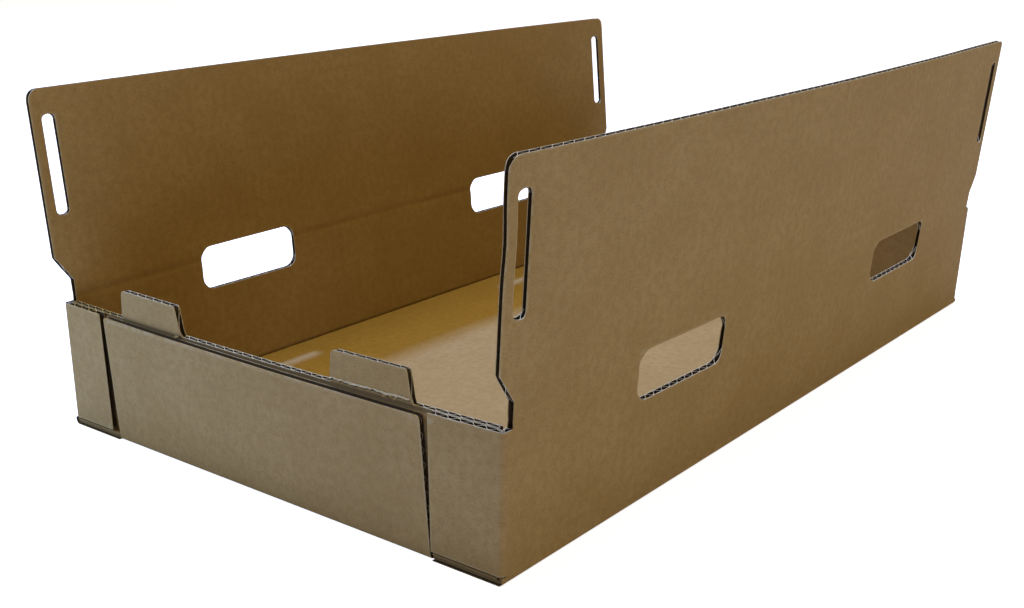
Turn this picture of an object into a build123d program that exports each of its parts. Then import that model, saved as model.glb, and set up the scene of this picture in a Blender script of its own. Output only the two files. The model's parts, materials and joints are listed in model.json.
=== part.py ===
"""A shallow corrugated tray with two lid flaps that lock over tabs on its end panels.

Millimetres. X runs across the tray, Y along it and Z up from the surface it stands on. The board's one
wrap is folded up from the floor: two side walls, two corner flanges on each wall's ends and an outer
panel at each end. A separate end panel is glued inside each end and carries the two locking tabs. Above
a crease each side wall goes on as a lid flap, which turns about that crease. The board's flutes are
hollow where the cut edges that show lay their ends open.
"""
from build123d import *
from math import cos, radians, sin
import os

# The board, a fluted sheet between two liners
board = 4.0                     # thickness, of C flute
liner = 0.5                     # each liner with its glue
medium = 0.4                    # the fluted sheet, measured through the board
flute_pitch = 7.9
flute_foot = 7.2                # width of a flute's hollow where it meets the liner
crease_crush = 3.0              # the flutes are pressed flat this far to each side of a crease
closed_foot = 3.0               # and are left closed this far up from an end that nothing shows

# The tray
tray_length = 600.0             # over the outer panels
tray_width = 356.0              # over the side walls
rim_height = 82.0               # top of the corner flanges and of the end panels
crease_rise = 4.0               # the axis that a lid flap turns about runs this far above the rim

# The outer layer at each end
corner_flange_width = 42.0
outer_panel_drop = 3.0          # from the rim down to the top of an outer panel
outer_panel_corner = 6.0        # radius of its two top corners
corner_slit = 5.5               # open strip between an outer panel and a corner flange
flange_lift = 1.0               # slit between a corner flange and the floor's top face

# The glued end panels and their tabs, seen from outside each end
panel_side_gap = 0.5            # to each side wall
tab_height = 16.0               # above the rim
tab_width = 57.0
tab_reach = 54.2                # from the crease axis to the nearer side of each tab
tab_slant = 7.0                 # the right side leans in by this much at its top
tab_corner = 3.0

# The lid flaps
flap_height = 130.5             # from the crease axis to the free edge
flap_lean = 4.9                 # degrees outwards from upright, as it stands by itself
neck_setback = 7.5              # the flap's root ends this far short of each end of the tray
neck_height = 10.0              # from the crease axis to the start of the shoulders
shoulder_height = 26.0          # from the crease axis to the end of the shoulders
shoulder_corner = 1.0           # radius at both ends of a shoulder
lid_overhang = 3.5              # the free edge passes each end of the tray by this much
lid_corner = 7.5
crease_gap = 0.2                # the wall's top stays this far under the rolled crease

# The slots that the tabs go through
slot_width = 9.6
slot_corner = 3.5
slot_tab_gap = 0.4              # from the slot's outer side to the tab's outer face
slot_end_near = 2.7             # from the tab's nearer side to the slot's end
slot_end_far = 2.8

# The hand holes, which straddle the creases
hand_hole_length = 87.0
hand_hole_height = 30.0
hand_hole_below = 22.0          # how far they reach below the crease axis
hand_hole_corner = 8.5
hand_hole_spacing = 292.0       # between the two holes of one wall

# Places that follow from these
end_plane = Plane.XZ.offset(tray_length / 2 - board)      # inner face of the outer layer, facing -Y
crease_x = (tray_width - board) / 2                       # the crease runs at the board's mid thickness
crease_height = rim_height + crease_rise
outer_panel_height = rim_height - outer_panel_drop
outer_panel_width = tray_width - 2 * corner_flange_width - 2 * corner_slit
neck_length = tray_length - 2 * neck_setback
lid_length = tray_length + 2 * lid_overhang
tab_face = tray_length / 2 - board                        # outer face of the glued end panels
flange_bottom = board + flange_lift
flange_end = outer_panel_width / 2 + corner_slit          # inner edge of the corner flanges
fold_start = tray_width / 2 - board                       # their outer edge, where the fold begins
slot_centre_y = tab_face + slot_tab_gap - slot_width / 2
slot_start = tab_reach - slot_end_near
slot_stop = tab_reach + tab_width + slot_end_far
hand_hole_rise = hand_hole_height / 2 - hand_hole_below   # its centre, up from the crease axis

# Across the flutes, the board's middle shows rows of three-sided hollows, nested head to foot
hollow_depth = board - 2 * liner - medium
hollow = (
    (-flute_foot / 2, -hollow_depth / 2),
    (flute_foot / 2, -hollow_depth / 2),
    (0, hollow_depth / 2),
)


def draw_hollows(width):
    """Adds to the sketch the hollows that fit across a board of this width, with no cut one at its sides."""
    pairs = int((width / 2 - flute_foot) / flute_pitch)
    for count, middle, turn in ((2 * pairs, -medium / 2, 0), (2 * pairs + 1, medium / 2, 180)):
        with Locations((0, middle)):
            with GridLocations(flute_pitch, 0, count, 1):
                Polygon(*hollow, rotation=turn)


# The wrap: floor, side walls, outer panels and corner flanges, one folded sheet
with BuildPart() as tray_body:
    # Floor and side walls: a U bent about two sharp inner folds, so the outer folds are as round as the
    # board is thick
    wall_top = crease_height - board / 2 - crease_gap
    with BuildSketch(Plane.XZ) as trough:
        with BuildLine():
            outside = FilletPolyline(
                (-tray_width / 2, wall_top),
                (-tray_width / 2, 0),
                (tray_width / 2, 0),
                (tray_width / 2, wall_top),
                radius=board,
            )
            Polyline(
                outside @ 1,
                (tray_width / 2 - board, wall_top),
                (tray_width / 2 - board, board),
                (board - tray_width / 2, board),
                (board - tray_width / 2, wall_top),
                outside @ 0,
            )
        make_face()
    extrude(amount=tray_length / 2 - board, both=True)

    # The walls drop from the crease to the rim beyond the flaps' necks
    with BuildSketch(Plane.XY.offset(rim_height)):
        with Locations((0, tray_length / 2), (0, -tray_length / 2)):
            Rectangle(2 * tray_width, 2 * neck_setback)
    extrude(amount=wall_top - rim_height, mode=Mode.SUBTRACT)

    # Under each corner flange the floor and the foot of the wall end in a straight cut
    with BuildSketch(end_plane):
        add(trough.sketch_local)
        with Locations((0, flange_bottom)):
            Rectangle(2 * tray_width, tray_width, align=(Align.CENTER, Align.MIN), mode=Mode.SUBTRACT)
        Rectangle(outer_panel_width, tray_width, mode=Mode.SUBTRACT)
    extrude(amount=board)

    # Corner flanges, folded round from the ends of the walls
    with BuildSketch(Plane.XY.offset(flange_bottom)):
        with BuildLine():
            fold = CenterArc((fold_start, board - tray_length / 2), board, 270, 90)
            Polyline(
                fold @ 0,
                (flange_end, -tray_length / 2),
                (flange_end, board - tray_length / 2),
                fold @ 1,
            )
        make_face()
        mirror(about=Plane.YZ)
    extrude(amount=rim_height - flange_bottom)

    # Outer panel, folded up from the floor's end
    with BuildSketch(end_plane):
        with Locations((0, board)):
            Rectangle(outer_panel_width, outer_panel_height - board, align=(Align.CENTER, Align.MIN))
        fillet(vertices().group_by(Axis.Y)[-1], radius=outer_panel_corner)
    extrude(amount=board)
    with BuildSketch(Plane.YZ):
        with BuildLine():
            bend = CenterArc((board - tray_length / 2, board), board, 180, 90)
            Polyline(bend @ 1, (board - tray_length / 2, board), bend @ 0)
        make_face()
    extrude(amount=outer_panel_width / 2, both=True)

    # The corner flanges' flutes run up and open at the rim; those of the outer panel lie across
    with BuildSketch(Plane.XY.offset(rim_height)):
        with GridLocations(flange_end + fold_start, 0, 2, 1):
            with Locations((0, (board - tray_length) / 2)):
                draw_hollows(fold_start - flange_end)
    extrude(amount=flange_bottom + closed_foot - rim_height, mode=Mode.SUBTRACT)

    # The far end is the same
    mirror(about=Plane.XZ)

    # Hand holes, cut through both walls at once, and the walls' flutes that open into them
    with BuildSketch(Plane.YZ):
        with Locations((0, crease_height + hand_hole_rise)):
            with GridLocations(hand_hole_spacing, 0, 2, 1):
                RectangleRounded(hand_hole_length, hand_hole_height, hand_hole_corner)
    extrude(amount=tray_width, both=True, mode=Mode.SUBTRACT)
    with BuildSketch(Plane((0, 0, board + crease_crush), x_dir=(0, 1, 0))):
        with GridLocations(hand_hole_spacing, tray_width - board, 2, 2):
            draw_hollows(hand_hole_length - 2 * hand_hole_corner)
    extrude(amount=crease_height - hand_hole_below - board - crease_crush, mode=Mode.SUBTRACT)


# The end panels, glued between the side walls against the outer layer
with BuildPart() as front_end_panel:
    inner_width = tray_width - 2 * board - 2 * panel_side_gap
    with BuildSketch(end_plane):
        with Locations((0, board)):
            Rectangle(inner_width, rim_height - board, align=(Align.CENTER, Align.MIN))
        for left_side in (tab_reach - crease_x, crease_x - tab_reach - tab_width):
            right_side = left_side + tab_width
            with BuildLine():
                edge = FilletPolyline(
                    (left_side, rim_height),
                    (left_side, rim_height + tab_height),
                    (right_side - tab_slant, rim_height + tab_height),
                    (right_side, rim_height),
                    radius=tab_corner,
                )
                Line(edge @ 1, edge @ 0)
            make_face()
    extrude(amount=-board)

    # Their flutes run up, so the ends show all along the top
    with BuildSketch(Plane.XY.offset(board + closed_foot)):
        with Locations((0, board / 2 - tab_face)):
            draw_hollows(inner_width)
    extrude(amount=rim_height + tab_height - board - closed_foot, mode=Mode.SUBTRACT)

with BuildPart() as rear_end_panel:
    add(front_end_panel.part, rotation=(0, 0, 180))


# The lid flaps, each drawn in its own leaning plane: x along the tray, y up from the crease
lean = radians(flap_lean)
flap_plane = Plane(
    origin=(crease_x, 0, crease_height),
    x_dir=(0, 1, 0),
    z_dir=(cos(lean), 0, -sin(lean)),
)
with BuildPart() as right_lid_flap:
    with BuildSketch(flap_plane):
        with BuildLine():
            FilletPolyline(
                (neck_length / 2, 0),
                (neck_length / 2, neck_height),
                (lid_length / 2, shoulder_height),
                (lid_length / 2, flap_height),
                (0, flap_height),
                radius=(shoulder_corner, shoulder_corner, lid_corner),
            )
            mirror(about=Plane.YZ)
            Line((-neck_length / 2, 0), (neck_length / 2, 0))
        make_face()
        with GridLocations(2 * slot_centre_y, 0, 2, 1):
            with Locations((0, (slot_start + slot_stop) / 2)):
                RectangleRounded(slot_width, slot_stop - slot_start, slot_corner, mode=Mode.SUBTRACT)
    extrude(amount=board / 2, both=True)

    # Its flutes run up from just above the hand holes, and open along the free edge and at the slots
    flute_start = hand_hole_height - hand_hole_below + closed_foot
    root_plane = Plane(flap_plane.origin, x_dir=(0, 1, 0), z_dir=flap_plane.y_dir)
    with BuildSketch(root_plane.offset(flute_start)):
        draw_hollows(lid_length)
    extrude(amount=flap_height - flute_start, mode=Mode.SUBTRACT)

    # The board's rolled edge along the crease, round about the axis that the flap turns on
    with BuildSketch(Plane.XZ.offset(-neck_length / 2)):
        with Locations((crease_x, crease_height)):
            Circle(board / 2)
    extrude(amount=neck_length)

    with BuildSketch(flap_plane):
        with Locations((0, hand_hole_rise)):
            with GridLocations(hand_hole_spacing, 0, 2, 1):
                RectangleRounded(hand_hole_length, hand_hole_height, hand_hole_corner)
    extrude(amount=board, both=True, mode=Mode.SUBTRACT)

with BuildPart() as left_lid_flap:
    mirror(right_lid_flap.part, about=Plane.YZ)


tray_body.part.label = "tray_body"
front_end_panel.part.label = "front_end_panel"
rear_end_panel.part.label = "rear_end_panel"
right_lid_flap.part.label = "right_lid_flap"
left_lid_flap.part.label = "left_lid_flap"

os.makedirs("parts", exist_ok=True)
export_step(tray_body.part, "parts/tray_body.step")
export_step(front_end_panel.part, "parts/front_end_panel.step")
export_step(rear_end_panel.part, "parts/rear_end_panel.step")
export_step(right_lid_flap.part, "parts/right_lid_flap.step")
export_step(left_lid_flap.part, "parts/left_lid_flap.step")
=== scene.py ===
"""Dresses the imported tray: corrugated board with two liners and a fluted sheet between them.

Every sheet is drawn on a flat grid, u across and v along. A shape function gives the grid its place, and
w, the depth in the board, lifts it off that middle surface. Sizes are in millimetres until a mesh is made.
"""
import json

import bpy
import numpy as np
from mathutils import Matrix, Vector


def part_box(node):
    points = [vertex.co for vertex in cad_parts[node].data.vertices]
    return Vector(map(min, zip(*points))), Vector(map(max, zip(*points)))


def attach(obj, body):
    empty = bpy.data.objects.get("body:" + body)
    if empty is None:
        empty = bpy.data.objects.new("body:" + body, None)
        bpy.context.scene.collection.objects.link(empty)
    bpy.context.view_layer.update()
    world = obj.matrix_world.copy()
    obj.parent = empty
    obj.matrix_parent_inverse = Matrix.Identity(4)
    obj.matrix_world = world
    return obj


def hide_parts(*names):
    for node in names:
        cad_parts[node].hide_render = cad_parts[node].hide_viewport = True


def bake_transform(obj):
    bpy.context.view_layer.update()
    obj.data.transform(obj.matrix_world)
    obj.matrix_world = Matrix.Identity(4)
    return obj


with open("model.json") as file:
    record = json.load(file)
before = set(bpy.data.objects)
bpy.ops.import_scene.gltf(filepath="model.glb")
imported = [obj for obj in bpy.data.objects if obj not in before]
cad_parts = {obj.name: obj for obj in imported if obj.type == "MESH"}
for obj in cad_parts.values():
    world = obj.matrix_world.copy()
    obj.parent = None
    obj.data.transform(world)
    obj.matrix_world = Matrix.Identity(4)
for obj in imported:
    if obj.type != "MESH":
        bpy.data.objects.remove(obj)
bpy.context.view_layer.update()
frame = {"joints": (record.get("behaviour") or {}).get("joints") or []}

MM = 0.001

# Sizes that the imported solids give
tray_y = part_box("tray_body")[1][1] / MM
panel_low, panel_high = (np.array(corner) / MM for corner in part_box("front_end_panel"))
flap_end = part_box("right_lid_flap")[1][1] / MM
crease_x, _, crease_z = (value / MM for value in frame["joints"][0]["pos_m"])

# The board, with its sheets drawn a little thinner than the solids' 0.5 and 0.4
board = 4.0
half = board / 2
liner = 0.4
medium = 0.36
pitch = 7.9
wave = half - liner - medium / 2        # height of the flutes' wave, crest to middle
least_wave = 0.03                       # what is left of that height where the board is crushed flat
fold_radius = 1.0                       # of the middle surface
fold_length = fold_radius * np.pi / 2
fold_press = 1.5                        # the inner liner is crushed this far into a fold
fold_reach = 1.6
seam_z = 6.0                            # the side sheets begin this high, above the floor's folds
open_side = 3.2                         # cut edges along the flutes show a hollow this deep
pinch_depth = 0.6                       # the die squeezes each face in by this much beside upright cuts
pinch_reach = 1.4
pinch_lines = (1.3, 3.0)                # grid lines are added this far from such a cut
sharp_angle = 32                        # degrees, past which an edge is shaded sharp
far_off = 50.0                          # stands for the distance to a cut edge where none is near
face_offset = 300.0                     # keeps the pattern of one face apart from the other's

# The floor and the foot of each wall, measured along the sheet
fold_start = crease_x - fold_radius
foot_end = fold_start + fold_length + seam_z - half - fold_radius
strip_gap = 1.5                         # from an outer panel to the strip of floor beside it
strip_short = 0.9                       # the crushed flutes end this far inside that strip
crushed_half = 0.9                      # half the thickness of those flutes

# The side sheets: a wall, the crease and a lid flap
rim_z = 82.0                            # top of the flanges and of the end panels between their tabs
neck_y = 292.5                          # half the sheet's length at the crease
neck_top = 10.0                         # the neck ends this far above the crease
shoulder_top = 26.0                     # and the shoulder above it meets the flap's end at this height
flap_height = 130.5                     # from the crease to the free edge
flap_corner = 7.5
groove_depth = 0.42                     # the crease in the inner face
groove_reach = 2.4
groove_outer = 0.2                      # the share of it that shows in the outer face
knock_z, knock_depth = 176.0, 0.9       # a dent outwards in the near edge of the right flap
knock_reach = (9.0, 13.0)               # along y and up the flap
ripple_fade = 60.0                      # the ripples fade out this near the wall's ends
lean_limit = 1.7                        # above the crease an end's bow goes on to this share of it there
hand_hole = (146.0, 43.5, 64.0, 94.0, 8.5)              # middle, half length, bottom, top, corner
slot_y, slot_half, slot_bottom, slot_top, slot_corner = 291.6, 4.8, 51.5, 114.4, 3.5
wall_end = tray_y - half - fold_radius  # the floor's flat part ends there too

# The ends
flange_bottom = 5.0
outer_top = 79.0                        # height of the outer panels
outer_half = 130.5                      # half their width
outer_corner = 2.2
tab_top = panel_high[2] + 1.5           # the photographed tabs stand a little taller than the solid's
tab_left = (-118.8, 62.2)
tab_width = 57.3
tab_slant = 4.6
tab_corner = 2.6
tab_fold_z = 84.5                       # a tab that is bent gives way here
tab_blend = 2.5                         # softens the corner between a tab's top and its slant, mm squared
tab_foot = 0.02                         # the outline between the tabs is this much above the rim
panel_foot = 0.3                        # the drawn end panel begins this much above the solid's foot
# its crush darkens the strip along the tabs' foot: painted shade
score_below, score_depth, score_reach = 1.2, 1.0, 1.8   # the groove along the tabs' fold, below the rim
outer_short = 1.2                       # the outer panels' flutes end this far inside their sides
flange_flat = 4.0                       # the flutes of a flange are crushed this far past the corner
end_bow = {-1: 4.0, 1: 1.5}             # how far the middle of each end stands out at the rim
panel_skew = {-1: -3.5, 1: 1.5}         # how far the top of each outer panel sits to one side
panel_tilt = {-1: 0.9, 1: 0.0}          # how far that top's middle is above its right corner
tab_bend = {-1: (4.0, 9.0), 1: (2.0, 3.0)}              # degrees, the tab at u below 0 and the other
torn_paper = 0.15                       # thickness of the torn liner

# The specular level of all three papers
paper_gloss = 0.16

# Inner edge of each corner flange, by side and end
flange_inner = {(1, -1): 131.0, (-1, -1): 138.0, (1, 1): 135.0, (-1, 1): 136.5}


def colour(red, green, blue):
    """A colour written in 0 to 255 as a screen shows it, turned to the linear values of a shader."""
    value = np.array((red, green, blue)) / 255
    linear = np.where(value <= 0.04045, value / 12.92, ((value + 0.055) / 1.055) ** 2.4)
    return (*(float(part) for part in linear), 1.0)


class Value:
    """A socket that takes Python's arithmetic: every operator adds one Math node."""

    def __init__(self, finish, socket):
        self.finish = finish
        self.socket = socket

    def math(self, operation, *inputs):
        return self.finish.add("ShaderNodeMath", {"operation": operation}, *inputs)

    def __add__(self, other):
        return self.math("ADD", self, other)

    def __rsub__(self, other):
        return self.math("SUBTRACT", other, self)

    def __mul__(self, other):
        return self.math("MULTIPLY", self, other)

    __radd__ = __add__
    __rmul__ = __mul__

    def cosine(self):
        return self.math("COSINE", self)

    def step(self, low, high):
        """0 below low, 1 above high and a smooth rise between them."""
        settings = {"interpolation_type": "SMOOTHSTEP"}
        return self.finish.add("ShaderNodeMapRange", settings, self, low, high, 0.0, 1.0)


class Finish:
    """The nodes that make a material or the world."""

    def __init__(self, owner):
        owner.use_nodes = True
        self.owner = owner
        self.tree = owner.node_tree
        self.tree.nodes.clear()

    def feed(self, socket, value):
        if isinstance(value, Value):
            self.tree.links.new(value.socket, socket)
        elif value is not None:
            socket.default_value = value

    def add(self, kind, settings, *inputs, output=0, **named):
        """One node of that kind, set first and then given the values or links of its sockets."""
        node = self.tree.nodes.new(kind)
        for key, value in settings.items():
            setattr(node, key, value)
        for socket, value in zip(node.inputs, inputs):
            self.feed(socket, value)
        for key, value in named.items():
            self.feed(node.inputs[key.replace("_", " ")], value)
        return Value(self, node.outputs[output]) if node.outputs else None

    def attribute(self, name, output=1):
        return self.add("ShaderNodeAttribute", {"attribute_name": name}, output=output)

    def stretch(self, vector, factors):
        return self.add("ShaderNodeVectorMath", {"operation": "MULTIPLY"}, vector, factors)

    def noise(self, vector, scale, detail=2.0, roughness=0.5):
        return self.add("ShaderNodeTexNoise", {}, vector, Scale=scale, Detail=detail, Roughness=roughness)

    def mix(self, factor, first, second):
        """Two colours, mixed by a factor; the node's sockets for numbers and vectors are passed over."""
        passed = (None,) * 5
        return self.add("ShaderNodeMix", {"data_type": "RGBA"}, factor, *passed, first, second, output=2)

    def shade(self, **sockets):
        """Ends the material in a Principled shader with these sockets."""
        shader = self.add("ShaderNodeBsdfPrincipled", {}, **sockets)
        self.add("ShaderNodeOutputMaterial", {}, shader)
        return self.owner


def kraft_liner():
    """Brown kraft paper: cloudy formation, fibres across the flutes, faint washboard, rubbed edges.

    Where it is crushed it is darker: partly the paper's own tone, partly painted shade in creases and folds.
    """
    finish = Finish(bpy.data.materials.new("kraft_liner"))
    flat = finish.attribute("flat")
    edge = finish.attribute("edge", output=2)
    crush = finish.attribute("crush", output=2)
    across = finish.add("ShaderNodeSeparateXYZ", {}, flat)
    clouds = finish.noise(flat, 26.0, 3.0, 0.55)
    mottle = finish.noise(flat, 190.0, 3.0, 0.6)
    fibres = finish.noise(finish.stretch(flat, (0.16, 1.0, 1.0)), 2300.0, 2.0, 0.7)
    flecks = finish.noise(finish.stretch(flat, (0.8, 1.0, 1.0)), 850.0, 3.0, 0.6)
    washboard = (across * (2 * np.pi / (pitch * MM))).cosine()
    tone = finish.mix(clouds.step(0.32, 0.68), colour(160, 129, 77), colour(168, 137, 85))
    tone = finish.mix(mottle.step(0.35, 0.66) * 0.6, tone, colour(148, 117, 68))
    tone = finish.mix(fibres.step(0.42, 0.66) * 0.25, tone, colour(182, 153, 103))
    tone = finish.mix(flecks.step(0.46, 0.74) * 0.34, tone, colour(118, 90, 52))
    tone = finish.mix((washboard * 0.5 + 0.5) * 0.04, tone, colour(126, 96, 54))
    # partly painted shade: creases, fold corners, the score groove and the crushed strips darken
    tone = finish.mix(crush.step(0.1, 1.0) * 0.8, tone, colour(110, 86, 50))
    rubbed = (1 - edge.step(0.1, 1.6)) * mottle.step(0.38, 0.6)
    tone = finish.mix(rubbed * 0.35, tone, colour(196, 176, 134))
    height = washboard * 0.3 + fibres * 0.5 + mottle * 0.5
    bump = finish.add("ShaderNodeBump", {}, Height=height, Strength=0.7, Distance=0.00012)
    rough = fibres * 0.16 + 0.74
    return finish.shade(Base_Color=tone, Roughness=rough, Normal=bump, Specular_IOR_Level=paper_gloss)


def cut_paper():
    """The cut edge of a liner: pale, fuzzy paper."""
    finish = Finish(bpy.data.materials.new("cut_paper"))
    flat = finish.attribute("flat")
    fuzz = finish.noise(flat, 1500.0, 2.0, 0.6)
    clouds = finish.noise(flat, 160.0)
    tone = finish.mix(fuzz.step(0.35, 0.65), colour(184, 165, 126), colour(214, 198, 164))
    tone = finish.mix(clouds.step(0.5, 0.7) * 0.4, tone, colour(140, 116, 76))
    return finish.shade(Base_Color=tone, Roughness=0.92, Specular_IOR_Level=paper_gloss)


def shaded_fluted_paper():
    """The fluted sheet and the liners' glued faces: painted shade, darker than the board's outside."""
    finish = Finish(bpy.data.materials.new("shaded_fluted_paper"))
    fuzz = finish.noise(finish.attribute("flat"), 700.0, 3.0, 0.6)
    # painted shade: these tones stand for the shade inside the board, not the paper's own brown
    tone = finish.mix(fuzz.step(0.3, 0.7), colour(74, 58, 36), colour(92, 74, 48))
    return finish.shade(Base_Color=tone, Roughness=0.9, Specular_IOR_Level=paper_gloss)


# The materials of a sheet, by their place among its slots; the third is paper in painted shade
PLAIN, CUT, FLUTED_SHADE = 0, 1, 2


class Sheet:
    """Collects the grids of one piece and makes a mesh of them.

    shape(u, v) gives the middle surface, and a point at depth w lies w along its normal, which is the
    cross product of the surface's steps along u and v, times turn.
    """

    def __init__(self, shape, turn=1, phase=0.0, flutes_along_v=True, edge=None):
        self.shape = shape
        self.turn = turn
        self.phase = phase
        self.flutes_along_v = flutes_along_v
        self.edge = edge
        self.points, self.faces, self.kinds = [], [], []
        self.flats, self.edges, self.crushes = [], [], []
        self.count = 0

    def lifted(self, u, v, w):
        """Points at depth w, with the normal from central differences of the shape."""
        step = 0.02
        along_u = self.shape(u + step, v) - self.shape(u - step, v)
        along_v = self.shape(u, v + step) - self.shape(u, v - step)
        normal = np.cross(along_u, along_v) * self.turn
        normal /= np.linalg.norm(normal, axis=-1, keepdims=True)
        return self.shape(u, v) + normal * np.asarray(w)[..., None]

    def slab(self, u, v, keep, low, high, kinds, crush=0.0):
        """A closed thin sheet over the kept cells of a grid, from depth low to depth high.

        kinds are the materials of its high face, its low face and its cut edges, and crush is how far the
        paper is pressed in. Edges that run along the flutes are frayed, and stay as brown as the face.

        Its two faces repeat the kept cells, and a wall stands along each side of a kept cell that has no
        kept neighbour, so the sheet is closed.
        """
        rows, columns = u.shape
        index = np.arange(rows * columns).reshape(rows, columns)
        layer = rows * columns
        a, b, c, d = index[:-1, :-1], index[:-1, 1:], index[1:, 1:], index[1:, :-1]
        faces = [np.stack([a, b, c, d], -1)[keep] + layer, np.stack([a, d, c, b], -1)[keep]]
        around = np.pad(keep, 1)
        under, over = around[:-1, 1:-1], around[1:, 1:-1]
        before, after = around[1:-1, :-1], around[1:-1, 1:]
        borders = (
            (over & ~under, index[:, :-1], index[:, 1:]),
            (under & ~over, index[:, 1:], index[:, :-1]),
            (after & ~before, index[1:, :], index[:-1, :]),
            (before & ~after, index[:-1, :], index[1:, :]),
        )
        for border, start, end in borders:
            p, q = start[border], end[border]
            faces.append(np.stack([p, q, q + layer, p + layer], -1))
        frayed = min(kinds[:2])
        ends = (kinds[2], frayed) if self.flutes_along_v else (frayed, kinds[2])
        counts = [len(faces[0]), len(faces[1]), sum(map(len, faces[2:4])), sum(map(len, faces[4:]))]
        kinds = np.repeat((*kinds[:2], *ends), counts)
        faces = np.concatenate(faces)
        if self.turn < 0:
            faces = faces[:, ::-1]
        used, faces = np.unique(faces, return_inverse=True)
        faces = faces.reshape(-1, 4)
        points = np.concatenate([self.lifted(u, v, w).reshape(-1, 3) for w in (low, high)])
        across, along = (u, v) if self.flutes_along_v else (v, u)
        sides = np.concatenate([np.broadcast_to(w, u.shape).ravel() for w in (low, high)])
        face = np.sign(sides) * face_offset
        flat = np.stack([np.tile(across.ravel(), 2), np.tile(along.ravel(), 2), face], -1)
        edge = np.full(u.shape, far_off) if self.edge is None else self.edge(u, v)
        self.points.append(points[used])
        self.faces.append(faces + self.count)
        self.kinds.append(kinds)
        self.flats.append(flat[used])
        self.edges.append(np.tile(edge.ravel(), 2)[used])
        self.crushes.append(np.tile(np.broadcast_to(crush, u.shape).ravel(), 2)[used])
        self.count += len(used)

    def liners(self, u, v, keep, press=(0.0, 0.0), pinch=0.0):
        """The two liners; press pushes the high and the low one towards the middle, as a crease does.

        pinch does the same along a die-cut edge, where the paper keeps its colour.
        """
        inside = half - liner
        high, low = press[0] + pinch, press[1] + pinch
        self.slab(u, v, keep, inside - high, half - high, (PLAIN, FLUTED_SHADE, CUT), press[0])
        self.slab(u, v, keep, low - half, low - inside, (FLUTED_SHADE, PLAIN, CUT), press[1])

    def fluting(self, u, v, keep, press=(0.0, 0.0)):
        """The fluted sheet between them, at depth wave * sin(2 pi * place across / pitch + phase).

        Where the liners are pressed, the wave is as much lower and moves with them.
        """
        across = u if self.flutes_along_v else v
        rise = np.maximum(wave - (press[0] + press[1]) / 2, least_wave)
        depth = (press[1] - press[0]) / 2 + rise * np.sin(2 * np.pi * across / pitch + self.phase)
        self.slab(u, v, keep, depth - medium / 2, depth + medium / 2, (FLUTED_SHADE, FLUTED_SHADE, CUT))

    def piece(self, name):
        """The mesh of all grids so far, as an object in metres."""
        mesh = bpy.data.meshes.new(name)
        points = np.concatenate(self.points) * MM
        faces = np.concatenate(self.faces)
        mesh.vertices.add(len(points))
        mesh.vertices.foreach_set("co", points.astype(np.float32).ravel())
        mesh.loops.add(faces.size)
        mesh.loops.foreach_set("vertex_index", faces.astype(np.int32).ravel())
        mesh.polygons.add(len(faces))
        mesh.polygons.foreach_set("loop_start", np.arange(0, faces.size, 4, dtype=np.int32))
        mesh.polygons.foreach_set("material_index", np.concatenate(self.kinds).astype(np.int32))
        mesh.update(calc_edges=True)
        mesh.validate()
        flat = mesh.attributes.new("flat", "FLOAT_VECTOR", "POINT")
        flat.data.foreach_set("vector", (np.concatenate(self.flats) * MM).astype(np.float32).ravel())
        for measure, values in (("edge", self.edges), ("crush", self.crushes)):
            layer = mesh.attributes.new(measure, "FLOAT", "POINT")
            layer.data.foreach_set("value", np.concatenate(values).astype(np.float32))
        mesh.shade_smooth()
        mesh.set_sharp_from_angle(angle=np.radians(sharp_angle))
        piece = bpy.data.objects.new(name, mesh)
        bpy.context.scene.collection.objects.link(piece)
        for material in (liner_paper, edge_paper, shaded_flute_paper):
            mesh.materials.append(material)
        return piece


def arc_rise(distance, radius):
    """How far a rounded corner has bent away, at that distance past the start of its arc.

    It is radius - sqrt(radius ^ 2 - distance ^ 2).
    """
    past = np.clip(distance, 0, radius)
    return radius - np.sqrt(radius ** 2 - past ** 2)


def arc_columns(start, radius, direction, count=6):
    """Columns over a rounded corner, closer together towards its upright end at start."""
    return start + direction * radius * (1 - np.cos(np.linspace(0, np.pi / 2, count)))


def columns(breaks, spacing, extra=()):
    """Sorted grid lines that pass through every break and are about spacing apart."""
    lines = [np.asarray(breaks, float), *(np.asarray(more, float) for more in extra)]
    for low, high in zip(breaks[:-1], breaks[1:]):
        lines.append(np.linspace(low, high, max(2, int(round((high - low) / spacing)) + 1)))
    return np.unique(np.round(np.concatenate(lines), 3))


def mirrored(lines):
    """Grid lines on both sides of 0, from those at 0 and above it."""
    return np.concatenate([-lines[:0:-1], lines])


def wave_lines(low, high):
    """Grid lines at eight fixed places on each of the flutes' waves, and the two ends."""
    gap = pitch / 8
    inner = np.arange(np.ceil((low + 0.2) / gap), np.floor((high - 0.2) / gap) + 1) * gap
    return np.concatenate([[low], inner, [high]])


def stack(anchors, steps):
    """Rows between the anchors, arrays over the columns: that many steps from each anchor to the next."""
    rows = [anchors[0][None]]
    levels = [0]
    for low, high, count in zip(anchors[:-1], anchors[1:], steps):
        share = np.linspace(0, 1, count + 1)[1:, None]
        rows.append(low + (high - low) * share)
        levels.append(levels[-1] + count)
    return np.concatenate(rows), levels


def wall_share(z):
    """0 at the seam over the floor's fold, 1 at the crease: how far a wall has leaned at height z."""
    return np.clip((z - seam_z) / (crease_z - seam_z), 0, lean_limit)


# How each wall and flap stand, as the photograph shows them: the wall's lean at the crease at the near and
# the far end, the flap's tilt there in degrees, and the outward bow half way, at the crease and the top
stance = {
    1: {"lean": (1.8, 4.6), "tilt": (4.1, 5.8), "bow": (7.0, 7.7)},
    -1: {"lean": (0.0, 0.0), "tilt": (5.3, 4.3), "bow": (5.9, 8.3)},
}


def between(ends, y):
    """A value that runs evenly from the near end of the tray to the far one."""
    return ends[0] + (ends[1] - ends[0]) * (y + tray_y) / (2 * tray_y)


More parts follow.
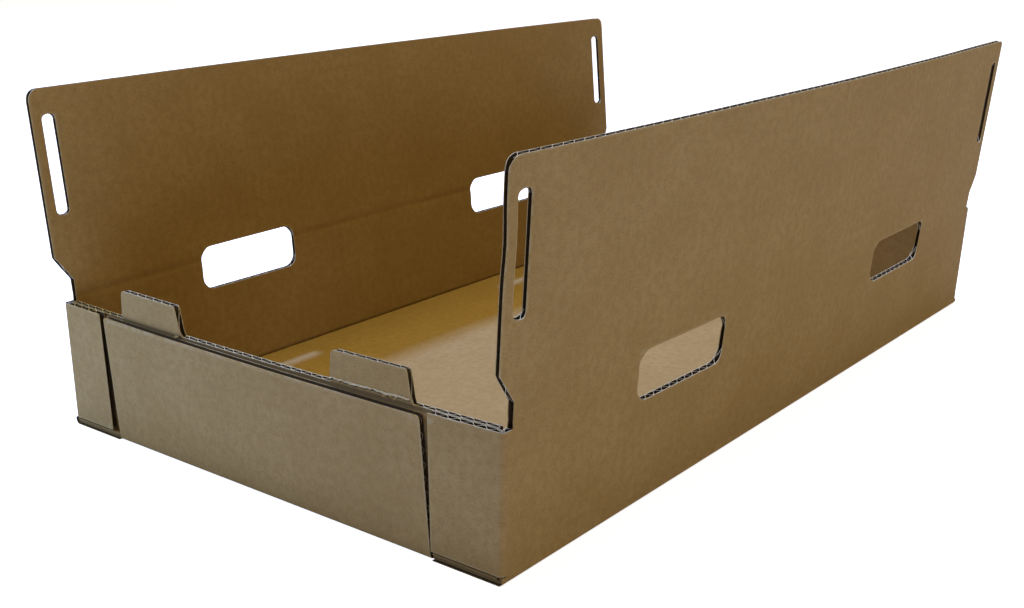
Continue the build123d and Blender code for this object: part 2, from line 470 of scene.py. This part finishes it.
def ripples(y, v, side):
    """Slow waves of a sheet: a sine of y / 61 + v / 37, 0.35 high, and one of y / 27 - v / 19, 0.2 high."""
    return 0.35 * np.sin(y / 61 + v / 37 + side) + 0.2 * np.sin(y / 27 - v / 19)


def side_shape(side):
    """The wall and flap of one side: the wall leans and bows more with height, the flap goes on tilted.

    x = crease_x + lean * share + height up the flap * sin(tilt) + bow * (1 - (y / half length) ^ 2), with
    the ripples added, and on the right a knock: a bell curve over y and height at the near edge.
    """
    pose = stance[side]

    def shape(u, v):
        y = side * u
        share = wall_share(np.minimum(v, crease_z))
        up = np.maximum(v - crease_z, 0)
        tilt = np.radians(between(pose["tilt"], y))
        arch = np.clip(1 - (y / wall_end) ** 2, -0.1, 1)
        bow = pose["bow"][0] * share + (pose["bow"][1] - pose["bow"][0]) * up / flap_height
        x = crease_x + between(pose["lean"], y) * share + up * np.sin(tilt) + bow * arch
        x = x + ripples(y, v, side) * share * np.clip((wall_end - np.abs(y)) / ripple_fade, 0, 1)
        knock = np.exp(-((y + flap_end) / knock_reach[0]) ** 2 - ((v - knock_z) / knock_reach[1]) ** 2)
        x = x + (knock_depth * knock if side > 0 else 0)
        return np.stack([side * x, y, np.minimum(v, crease_z) + up * np.cos(tilt)], -1)

    return shape


def side_anchors(u):
    """The heights that the side sheet's rows pass through, over its columns."""
    y = np.abs(u)
    middle, half_length, bottom, top, corner = hand_hole
    hole = arc_rise(corner - (half_length - np.abs(y - middle)), corner)
    slot = arc_rise(slot_corner - (slot_half - np.abs(y - slot_y)), slot_corner)
    level = np.ones_like(u)
    shoulder = np.maximum(y - neck_y, 0) * (shoulder_top - neck_top) / (flap_end - neck_y)
    neck = crease_z + neck_top + shoulder
    return [
        seam_z * level,
        bottom + hole,
        rim_z * level,
        top - hole,
        neck,
        neck + 6,
        crease_z + slot_bottom + slot,
        crease_z + slot_top - slot,
        crease_z + flap_height - arc_rise(y - (flap_end - flap_corner), flap_corner),
    ]


def side_keep(u, levels, short=0.0):
    """Leaves out the cells of the hand holes and the slots, and those past the wall's and the neck's ends.

    What is left ends short of every cut along the flutes by that much.
    """
    _, hole_low, rim, hole_high, neck, _, slot_low, slot_high, top = levels
    middles = np.abs(u[1:] + u[:-1]) / 2
    rows = np.arange(top)[:, None]
    hole = np.abs(middles - hand_hole[0]) < hand_hole[1] + short
    slot = np.abs(middles - slot_y) < slot_half + short
    gone = hole & (rows >= hole_low) & (rows < hole_high)
    gone |= slot & (rows >= slot_low) & (rows < slot_high)
    gone |= (middles > neck_y - short) & (rows >= rim) & (rows < neck)
    gone |= (middles > wall_end) & (rows < neck)
    return ~gone


def side_edge(u, v):
    """Distance to the nearest cut edge: the hand holes, the slots or the flap's outline."""
    y = np.abs(u)

    def from_box(middle_y, half_y, low, high):
        out_y = np.maximum(np.abs(y - middle_y) - half_y, 0)
        out_v = np.maximum(np.maximum(low - v, v - high), 0)
        return np.hypot(out_y, out_v)

    hole = from_box(*hand_hole[:4])
    slot = from_box(slot_y, slot_half, crease_z + slot_bottom, crease_z + slot_top)
    past_end = np.where(v > crease_z + neck_top, flap_end - y, far_off)
    outline = np.minimum(crease_z + flap_height - v, past_end)
    return np.minimum(np.minimum(hole, slot), np.maximum(outline, 0))


def pressed(distance, depth, reach):
    """How far a face is pressed in, that far from a crease: depth * exp(-(distance / reach) ^ 2)."""
    return depth * np.exp(-(distance / reach) ** 2)


def side_press(u, v):
    """The crease is a groove in the inner face, faint in the outer; the corner's fold crushes the inner."""
    groove = pressed(v - crease_z, groove_depth, groove_reach)
    corner = pressed(wall_end - np.abs(u) + fold_length / 2, fold_press, fold_reach) * (v < rim_z + 0.01)
    return groove * groove_outer, groove + corner


def side_pinch(u, v):
    """The die squeezes the board along the upright cuts, which run with the flutes."""
    y = np.abs(u)
    middle, half_length, bottom, top, _ = hand_hole
    to_hole = np.where((v >= bottom) & (v <= top), np.abs(np.abs(y - middle) - half_length), far_off)
    at_slot = (v >= crease_z + slot_bottom) & (v <= crease_z + slot_top)
    to_slot = np.where(at_slot, np.abs(np.abs(y - slot_y) - slot_half), far_off)
    to_end = np.where(v > crease_z + neck_top, flap_end - y, far_off)
    return pressed(np.minimum(np.minimum(to_hole, to_slot), to_end), pinch_depth, pinch_reach)


def side_sheet(side):
    """One wall, its crease and its lid flap, from the floor's fold to the free edge."""
    sheet = Sheet(side_shape(side), phase=0.6 * side, edge=side_edge)
    middle, half_length, _, _, corner = hand_hole
    hole_ends = (middle - half_length, middle + half_length)
    breaks = [0, *hole_ends, slot_y - slot_half, neck_y, wall_end, slot_y + slot_half, flap_end]
    extra = [
        arc_columns(hole_ends[0], corner, 1),
        arc_columns(hole_ends[1], corner, -1),
        arc_columns(slot_y - slot_half, slot_corner, 1, 5),
        arc_columns(slot_y + slot_half, slot_corner, -1, 5),
        arc_columns(flap_end, flap_corner, -1),
    ]
    for near in pinch_lines:
        extra.append([hole_ends[0] - near, hole_ends[1] + near, slot_y - slot_half - near, flap_end - near])
    u = mirrored(columns(breaks, 6.0, extra))
    v, levels = stack(side_anchors(u), (6, 3, 3, 10, 4, 6, 8, 5))
    sheet.liners(np.broadcast_to(u, v.shape), v, side_keep(u, levels), side_press(u, v), side_pinch(u, v))
    lines = wave_lines(open_side - flap_end, flap_end - open_side)
    v, levels = stack(side_anchors(lines), (1, 1, 1, 6, 3, 1, 2, 2))
    press = [part + side_pinch(lines, v) for part in side_press(lines, v)]
    sheet.fluting(np.broadcast_to(lines, v.shape), v, side_keep(lines, levels, open_side), press)
    return sheet.piece("right_wall_and_flap" if side > 0 else "left_wall_and_flap")


def folded(distance, flat_end):
    """A strip that lies flat to flat_end, bends up through a quarter turn and goes straight up from there.

    Its place is the flat end + radius * sin(angle), and its height is radius * (1 - cos(angle)) plus the
    length that goes straight up.
    """
    past = np.maximum(distance - flat_end, 0)
    angle = np.minimum(past / fold_radius, np.pi / 2)
    place = np.minimum(distance, flat_end) + fold_radius * np.sin(angle)
    height = fold_radius * (1 - np.cos(angle)) + np.maximum(past - fold_length, 0)
    return place, height


def bow_out(x, z, bow):
    """How far an end stands out: bow * (1 - (x / crease_x) ^ 2) * the wall's share of its lean at z."""
    return bow * (1 - (x / crease_x) ** 2) * wall_share(z)


def floor_shape(u, v):
    """The floor and the foot of each wall: x and the height follow the fold along u, and y is v."""
    x, rise = folded(np.abs(u), fold_start)
    return np.stack([np.sign(u) * x, v + 0 * u, half + rise], -1)


def panel_shape(u, v):
    """The outer panels: y and the height follow the fold along v, and y has the bow of their end added.

    x is u, moved aside by skew * height / the panel's height.
    """
    y, rise = folded(np.abs(v), wall_end)
    bow, skew = (np.where(v < 0, pair[-1], pair[1]) for pair in (end_bow, panel_skew))
    x = u + skew * rise / outer_top
    return np.stack([x, np.sign(v) * (y + bow_out(x, half + rise, bow)), half + rise], -1)


def floor_press(u, v):
    """The folds crush the liner that is inside them, the floor's upper one."""
    side = pressed(np.abs(u) - crease_x + fold_radius - fold_length / 2, fold_press, fold_reach)
    end = pressed(np.abs(v) - tray_y + half + fold_radius - fold_length / 2, fold_press, fold_reach)
    return np.maximum(side, end * (np.abs(u) <= outer_half)), 0 * u


def whole(u):
    """Keeps every cell of a grid."""
    return np.ones((u.shape[0] - 1, u.shape[1] - 1), bool)


def draw_floor(sheet):
    """The floor with the foot of each wall, and its ends that go on under the corner flanges.

    Under a flange the flutes are crushed to a plain layer between the liners.
    """
    fold = np.linspace(fold_start, fold_start + fold_length, 7)
    dense = fold_start + np.linspace(-3, fold_length + 3, 13)
    breaks = [0, outer_half, fold_start, foot_end]
    across = mirrored(columns(breaks, 12.0, [fold, dense]))
    along = mirrored(columns([0, wall_end], 14.0, [np.linspace(wall_end - 3, wall_end, 5)]))
    u, v = np.meshgrid(across, along)
    sheet.liners(u, v, whole(u), floor_press(u, v))
    coarse = mirrored(columns(breaks, 45.0, [fold[::2]]))
    u, v = np.meshgrid(coarse, wave_lines(-wall_end, wall_end))
    sheet.fluting(u, v, whole(u), floor_press(u, v))

    strip_end = foot_end - seam_z + flange_bottom - 0.5        # half a millimetre below the flange
    strip = columns([outer_half + strip_gap, fold_start, strip_end], 9.0, [fold])
    for end in (-1, 1):
        for side in (-1, 1):
            across = np.sort(side * strip)
            u, v = np.meshgrid(across, np.sort(end * np.linspace(wall_end, tray_y, 4)))
            sheet.liners(u, v, whole(u))
            u, v = np.meshgrid(across, np.sort(end * np.linspace(wall_end, tray_y - strip_short, 3)))
            depth = np.full(u.shape, crushed_half)
            # its full crush darkens this strip: partly crushed paper, partly painted shade of its recess
            sheet.slab(u, v, whole(u), -depth, depth, (PLAIN, PLAIN, PLAIN), 1.0)


def draw_outer_panels(sheet, panel_end):
    """The two outer panels and their folds, up to panel_end along the sheet, with the front one's tilt."""
    corner = arc_columns(outer_half, outer_corner, -1)
    across = mirrored(columns([0, outer_half - outer_corner, outer_half], 10.0, [corner]))
    rise = np.abs(across) - (outer_half - outer_corner)
    level = np.ones_like(across)
    flute_side = outer_half - outer_short
    for end in (-1, 1):
        top = panel_end + panel_tilt[end] * (1 - across / outer_half) - arc_rise(rise, outer_corner)
        rows = stack([wall_end * level, (wall_end + fold_length + 3) * level, top], (10, 9))[0]
        u = np.broadcast_to(across, rows.shape)
        if end < 0:
            rows = -rows[::-1]
        sheet.liners(u, rows, whole(rows), floor_press(u, rows))
        u, v = np.meshgrid(np.linspace(-flute_side, flute_side, 9), wave_lines(wall_end, panel_end - 0.1))
        if end < 0:
            v = -v[::-1]
        sheet.fluting(u, v, whole(u), floor_press(u, v))


def blank_sheet():
    """The part of the wrap that the floor carries, with the flutes running across the tray.

    The floor goes on to the tray's end under each corner flange, and between them it bends up into the
    outer panel.
    """
    sheet = Sheet(floor_shape, phase=1.1, flutes_along_v=False)
    draw_floor(sheet)
    panel_end = wall_end + fold_length + outer_top - half - fold_radius
    sheet.shape = panel_shape
    sheet.edge = lambda u, v: np.minimum(outer_half - np.abs(u), panel_end - np.abs(v))
    draw_outer_panels(sheet, panel_end)
    return sheet.piece("floor_and_outer_panels")


def flange_shape(side, end):
    """Round the corner from the end of a wall: u goes from the seam through the fold to the inner edge.

    In the fold x is its start + radius * cos(u / radius) and y is the wall's end + radius * sin(u / radius).
    Past it x goes straight on inwards. The wall's lean and the end's bow are added by height.
    """
    def shape(u, v):
        angle = np.clip(u / fold_radius, 0, np.pi / 2)
        x = fold_start + fold_radius * np.cos(angle) - np.maximum(u - fold_length, 0)
        y = wall_end + fold_radius * np.sin(angle) + 0 * v
        lean = stance[side]["lean"][0 if end < 0 else 1]
        out = bow_out(np.minimum(x, crease_x), v, end_bow[end])
        return np.stack([side * (x + lean * wall_share(v)), end * (y + out), v], -1)

    return shape


def corner_flange(side, end):
    """One corner flange, with its flutes upright and crushed in the fold."""
    length = fold_length + fold_start - flange_inner[side, end]

    def edge(u, v):
        return np.minimum(np.minimum(rim_z - v, v - flange_bottom), length - u)

    def press(u, crush):
        """The fold pushes in the inner liner, and crushes the flutes for some way past it."""
        inner = pressed(u - fold_length / 2, fold_press, fold_reach)
        flat = crush * np.clip(1 - (u - fold_length) / flange_flat, 0, 1)
        return flat, np.maximum(inner, flat)

    sheet = Sheet(flange_shape(side, end), turn=side * end, phase=0.4 + side, edge=edge)
    u = np.concatenate([np.linspace(0, fold_length + 3, 13), np.linspace(fold_length + 3, length, 7)[1:]])
    u, v = np.meshgrid(u, np.linspace(flange_bottom, rim_z, 12))
    sheet.liners(u, v, whole(u), press(u, 0.0))
    u, v = np.meshgrid(wave_lines(0, length - open_side), np.linspace(flange_bottom, rim_z, 5))
    sheet.fluting(u, v, whole(u), press(u, 1.0))
    ends = {-1: "front", 1: "rear"}
    sides = {-1: "left", 1: "right"}
    return sheet.piece(f"{sides[side]}_{ends[end]}_corner_flange")


def end_shape(end):
    """A glued end panel: upright against the outer layer, bowed with it, its tabs bent above the rim.

    y is its place + the bow, less sin(bend) * the height above the tabs' fold.
    """
    place = tray_y - board - half

    def shape(u, v):
        x = -end * u
        bend = np.radians(np.where(u < 0, *tab_bend[end]))
        above = np.maximum(v - tab_fold_z, 0)
        y = end * (place + bow_out(x, v, end_bow[end])) - end * above * np.sin(bend)
        return np.stack([x, y, np.minimum(v, tab_fold_z) + above * np.cos(bend)], -1)

    return shape


def tab_outline(u):
    """Height of the end panel's top: the rim, or the top of a tab, whose right side slants.

    A tab's top is the lower of its rounded top and its slant, with the corner between them softened by a
    square root.
    """
    foot = rim_z + tab_foot
    top = np.full_like(u, foot)
    for left in tab_left:
        right = left + tab_width
        inside = (u >= left - 1e-6) & (u <= right + 1e-6)
        rounded = tab_top - arc_rise(left + tab_corner - u, tab_corner)
        slant = rim_z + (tab_top - rim_z) * (right - u) / tab_slant
        gap = rounded - slant
        soft = (rounded + slant - np.sqrt(gap ** 2 + tab_blend)) / 2
        top = np.where(inside, np.maximum(soft, foot), top)
    return top


def torn_lip(sheet, left, right, height, rng):
    """The outer liner cracked along a bent tab's fold: a ragged pale lip over a painted-shade crack.

    The lip's lower edge wanders, and it lifts off the face by the square of the share of its height.
    """
    u = np.linspace(left, right, 120)
    knots = np.linspace(left, right, 34)
    wander, ragged, curl = (np.interp(u, knots, rng.random(len(knots))) for _ in range(3))
    share = np.linspace(0, 1, 4)[:, None]
    top = height + 0.5 * wander
    v = top - share * (0.25 + 0.55 * ragged)
    lift = half + 0.03 + (0.1 + 0.5 * curl) * share ** 2
    u = np.broadcast_to(u, v.shape)
    sheet.slab(u, v, whole(u), lift, lift + torn_paper, (CUT, FLUTED_SHADE, CUT))
    # the dark crack: a thin sheet of dark paper on the face, painted shade under the lip
    v = top - 0.3 - share * (0.8 + 0.7 * ragged)
    sheet.slab(u, v, whole(u), half + 0.01 + 0 * v, half + 0.03 + 0 * v, (FLUTED_SHADE, FLUTED_SHADE, FLUTED_SHADE))


def torn_flakes(sheet, left, right, height, count, rng):
    """Small flakes of torn liner that hang from the fold and narrow to a tenth of their width.

    They lean aside in step with their length, and stand off the face by lift * share ^ 2.
    """
    for place in rng.uniform(left, right, count):
        least, most = (1.0, 0.6, 0.3), (4.0, 2.2, 1.6)
        width, length, lift = rng.uniform(least, most)
        across, share = np.meshgrid(np.linspace(-0.5, 0.5, 4), np.linspace(0, 1, 5))
        lean = rng.uniform(-1.4, 0.6)
        u = place + width * across * (1 - 0.9 * share) + lean * length * share
        v = height + 0.4 - length * share
        w = half + 0.05 + lift * share ** 2
        sheet.slab(u, v, whole(u), w, w + torn_paper, (PLAIN, PLAIN, CUT))


def end_sheet(end):
    """One end panel: sides and foot as the solid's, and its two tabs as the photograph shows them."""
    sheet = Sheet(end_shape(end), phase=0.9, edge=lambda u, v: np.maximum(tab_outline(u) - v, 0))
    side = panel_high[0]
    breaks = [-side]
    extra = []
    for left in tab_left:
        right = left + tab_width
        breaks += [left, right - tab_slant, right]
        extra.append(arc_columns(left, tab_corner, 1, 5))
        extra.append(np.linspace(right - tab_slant - 2, right, 9))
    breaks.append(side)

    def rows_of(lines, steps):
        level = np.ones_like(lines)
        foot = panel_low[2] + panel_foot
        anchors = [foot * level, (rim_z - 6) * level, rim_z * level, tab_outline(lines)]
        rows, (_, _, rim, top) = stack(anchors, steps)
        middles = (lines[1:] + lines[:-1]) / 2
        on_tab = np.zeros(len(middles), bool)
        for left in tab_left:
            on_tab |= (middles > left) & (middles < left + tab_width)
        keep = (np.arange(top)[:, None] < rim) | on_tab
        return rows, keep

    def score(v):
        """The outer face is pressed in along the tabs' fold; the crush darkens it, as painted shade."""
        return pressed(v - rim_z + score_below, score_depth, score_reach), 0 * v

    lines = columns(breaks, 8.0, extra)
    rows, keep = rows_of(lines, (9, 9, 14))
    sheet.liners(np.broadcast_to(lines, rows.shape), rows, keep, score(rows))
    lines = wave_lines(-side, side)
    rows, keep = rows_of(lines, (3, 4, 4))
    sheet.fluting(np.broadcast_to(lines, rows.shape), rows, keep, score(rows))
    if end < 0:
        rng = np.random.default_rng(7)
        left = tab_left[1]
        torn_lip(sheet, left + 0.5, left + tab_width - 1.5, tab_fold_z, rng)
        torn_flakes(sheet, left + 30, left + tab_width - 2, tab_fold_z - 0.5, 7, rng)
        torn_flakes(sheet, tab_left[0] + tab_width - 6, tab_left[0] + tab_width, rim_z, 2, rng)
    return sheet.piece("front_panel_and_tabs" if end < 0 else "rear_panel_and_tabs")


liner_paper = kraft_liner()
edge_paper = cut_paper()
# paper darkened as painted shade, for the inside of the board
shaded_flute_paper = shaded_fluted_paper()

# The wrap's fixed part rides on the tray
wrap = blank_sheet()
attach(wrap, "tray")
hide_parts("tray_body")
for side in (1, -1):
    for end in (-1, 1):
        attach(corner_flange(side, end), "tray")

# The glued end panels
for end, node in ((-1, "front_end_panel"), (1, "rear_end_panel")):
    panel = end_sheet(end)
    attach(panel, "tray")
    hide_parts(node)

# Each wall and its lid flap are one sheet, drawn bent at the crease and baked in place
for side, body, node in ((1, "right_flap", "right_lid_flap"), (-1, "left_flap", "left_lid_flap")):
    sheet = side_sheet(side)
    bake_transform(sheet)
    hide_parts(node)


def studio():
    """A white floor and backdrop, a large soft lamp overhead, a small one high up and two low ones.

    The small one is on the left, the two low ones stand in front and on the right, and warm light as from
    a room comes from all round.
    """
    bpy.ops.mesh.primitive_plane_add(size=14.0)
    floor = bpy.context.object
    floor.name = "floor"
    white = (1.0, 1.0, 1.0, 1.0)
    paving = Finish(bpy.data.materials.new("white_floor"))
    paper = paving.add("ShaderNodeBsdfDiffuse", {}, (0.80, 0.80, 0.80, 1.0))
    glow = paving.add("ShaderNodeEmission", {}, white, 0.88)
    lit = paving.add("ShaderNodeAddShader", {}, paper, glow)
    camera_ray = paving.add("ShaderNodeLightPath", {}, output="Is Camera Ray")
    shown = paving.add("ShaderNodeMixShader", {}, camera_ray, paper, lit)
    paving.add("ShaderNodeOutputMaterial", {}, shown)
    floor.data.materials.append(paving.owner)

    world = bpy.data.worlds.new("studio")
    bpy.context.scene.world = world
    sky = Finish(world)
    seen = sky.add("ShaderNodeLightPath", {}, output="Is Camera Ray")
    for other in ("Is Glossy Ray", "Is Transmission Ray"):
        seen = seen.math("MAXIMUM", seen, sky.add("ShaderNodeLightPath", {}, output=other))
    air = sky.add("ShaderNodeBackground", {}, (1.0, 0.62, 0.19, 1.0), 0.162)
    backdrop = sky.add("ShaderNodeBackground", {}, white, 1.0)
    sky.add("ShaderNodeOutputWorld", {}, sky.add("ShaderNodeMixShader", {}, seen, air, backdrop))

    # Name, place and side in metres, watts and colour
    lamps = (
        ("above", (0.0, 0.3, 2.4), 2.0, 60.0, (0.58, 0.52, 0.20)),
        ("key", (-1.14, 0.2, 2.2), 0.2, 60.0, (0.35, 0.62, 1.6)),
        ("front", (-0.5, -0.8, 0.35), 0.4, 6.2, (0.21, 0.38, 0.76)),
        ("right", (2.5, -0.32, 0.35), 0.8, 60.0, (0.17, 0.20, 0.28)),
    )
    target = Vector((0, 0, 0.08))
    for name, place, size, power, tint in lamps:
        lamp = bpy.data.lights.new(name, "AREA")
        lamp.size = size
        lamp.energy = power
        lamp.color = tint
        holder = bpy.data.objects.new(name, lamp)
        holder.location = place
        holder.rotation_euler = (target - Vector(place)).to_track_quat("-Z", "Y").to_euler()
        bpy.context.scene.collection.objects.link(holder)


def camera():
    """The photograph's view: place in millimetres, the rows of its rotation and the lens in pixels."""
    place = (543.83, -748.79, 322.15)
    right = Vector((0.783355, 0.621508, -0.009113))
    down = Vector((0.174292, -0.233705, -0.956559))
    ahead = Vector((-0.596638, 0.747737, -0.291398))
    focal_pixels = 1319.6
    image_width = 1024
    lens = bpy.data.cameras.new("camera")
    lens.sensor_width = 36.0
    lens.lens = focal_pixels / image_width * lens.sensor_width
    holder = bpy.data.objects.new("camera", lens)
    turn = Matrix((right, -down, -ahead)).transposed().to_4x4()
    holder.matrix_world = Matrix.Translation(Vector(place) * MM) @ turn
    bpy.context.scene.collection.objects.link(holder)
    bpy.context.scene.camera = holder


studio()
camera()
bpy.context.scene.view_settings.view_transform = "Standard"
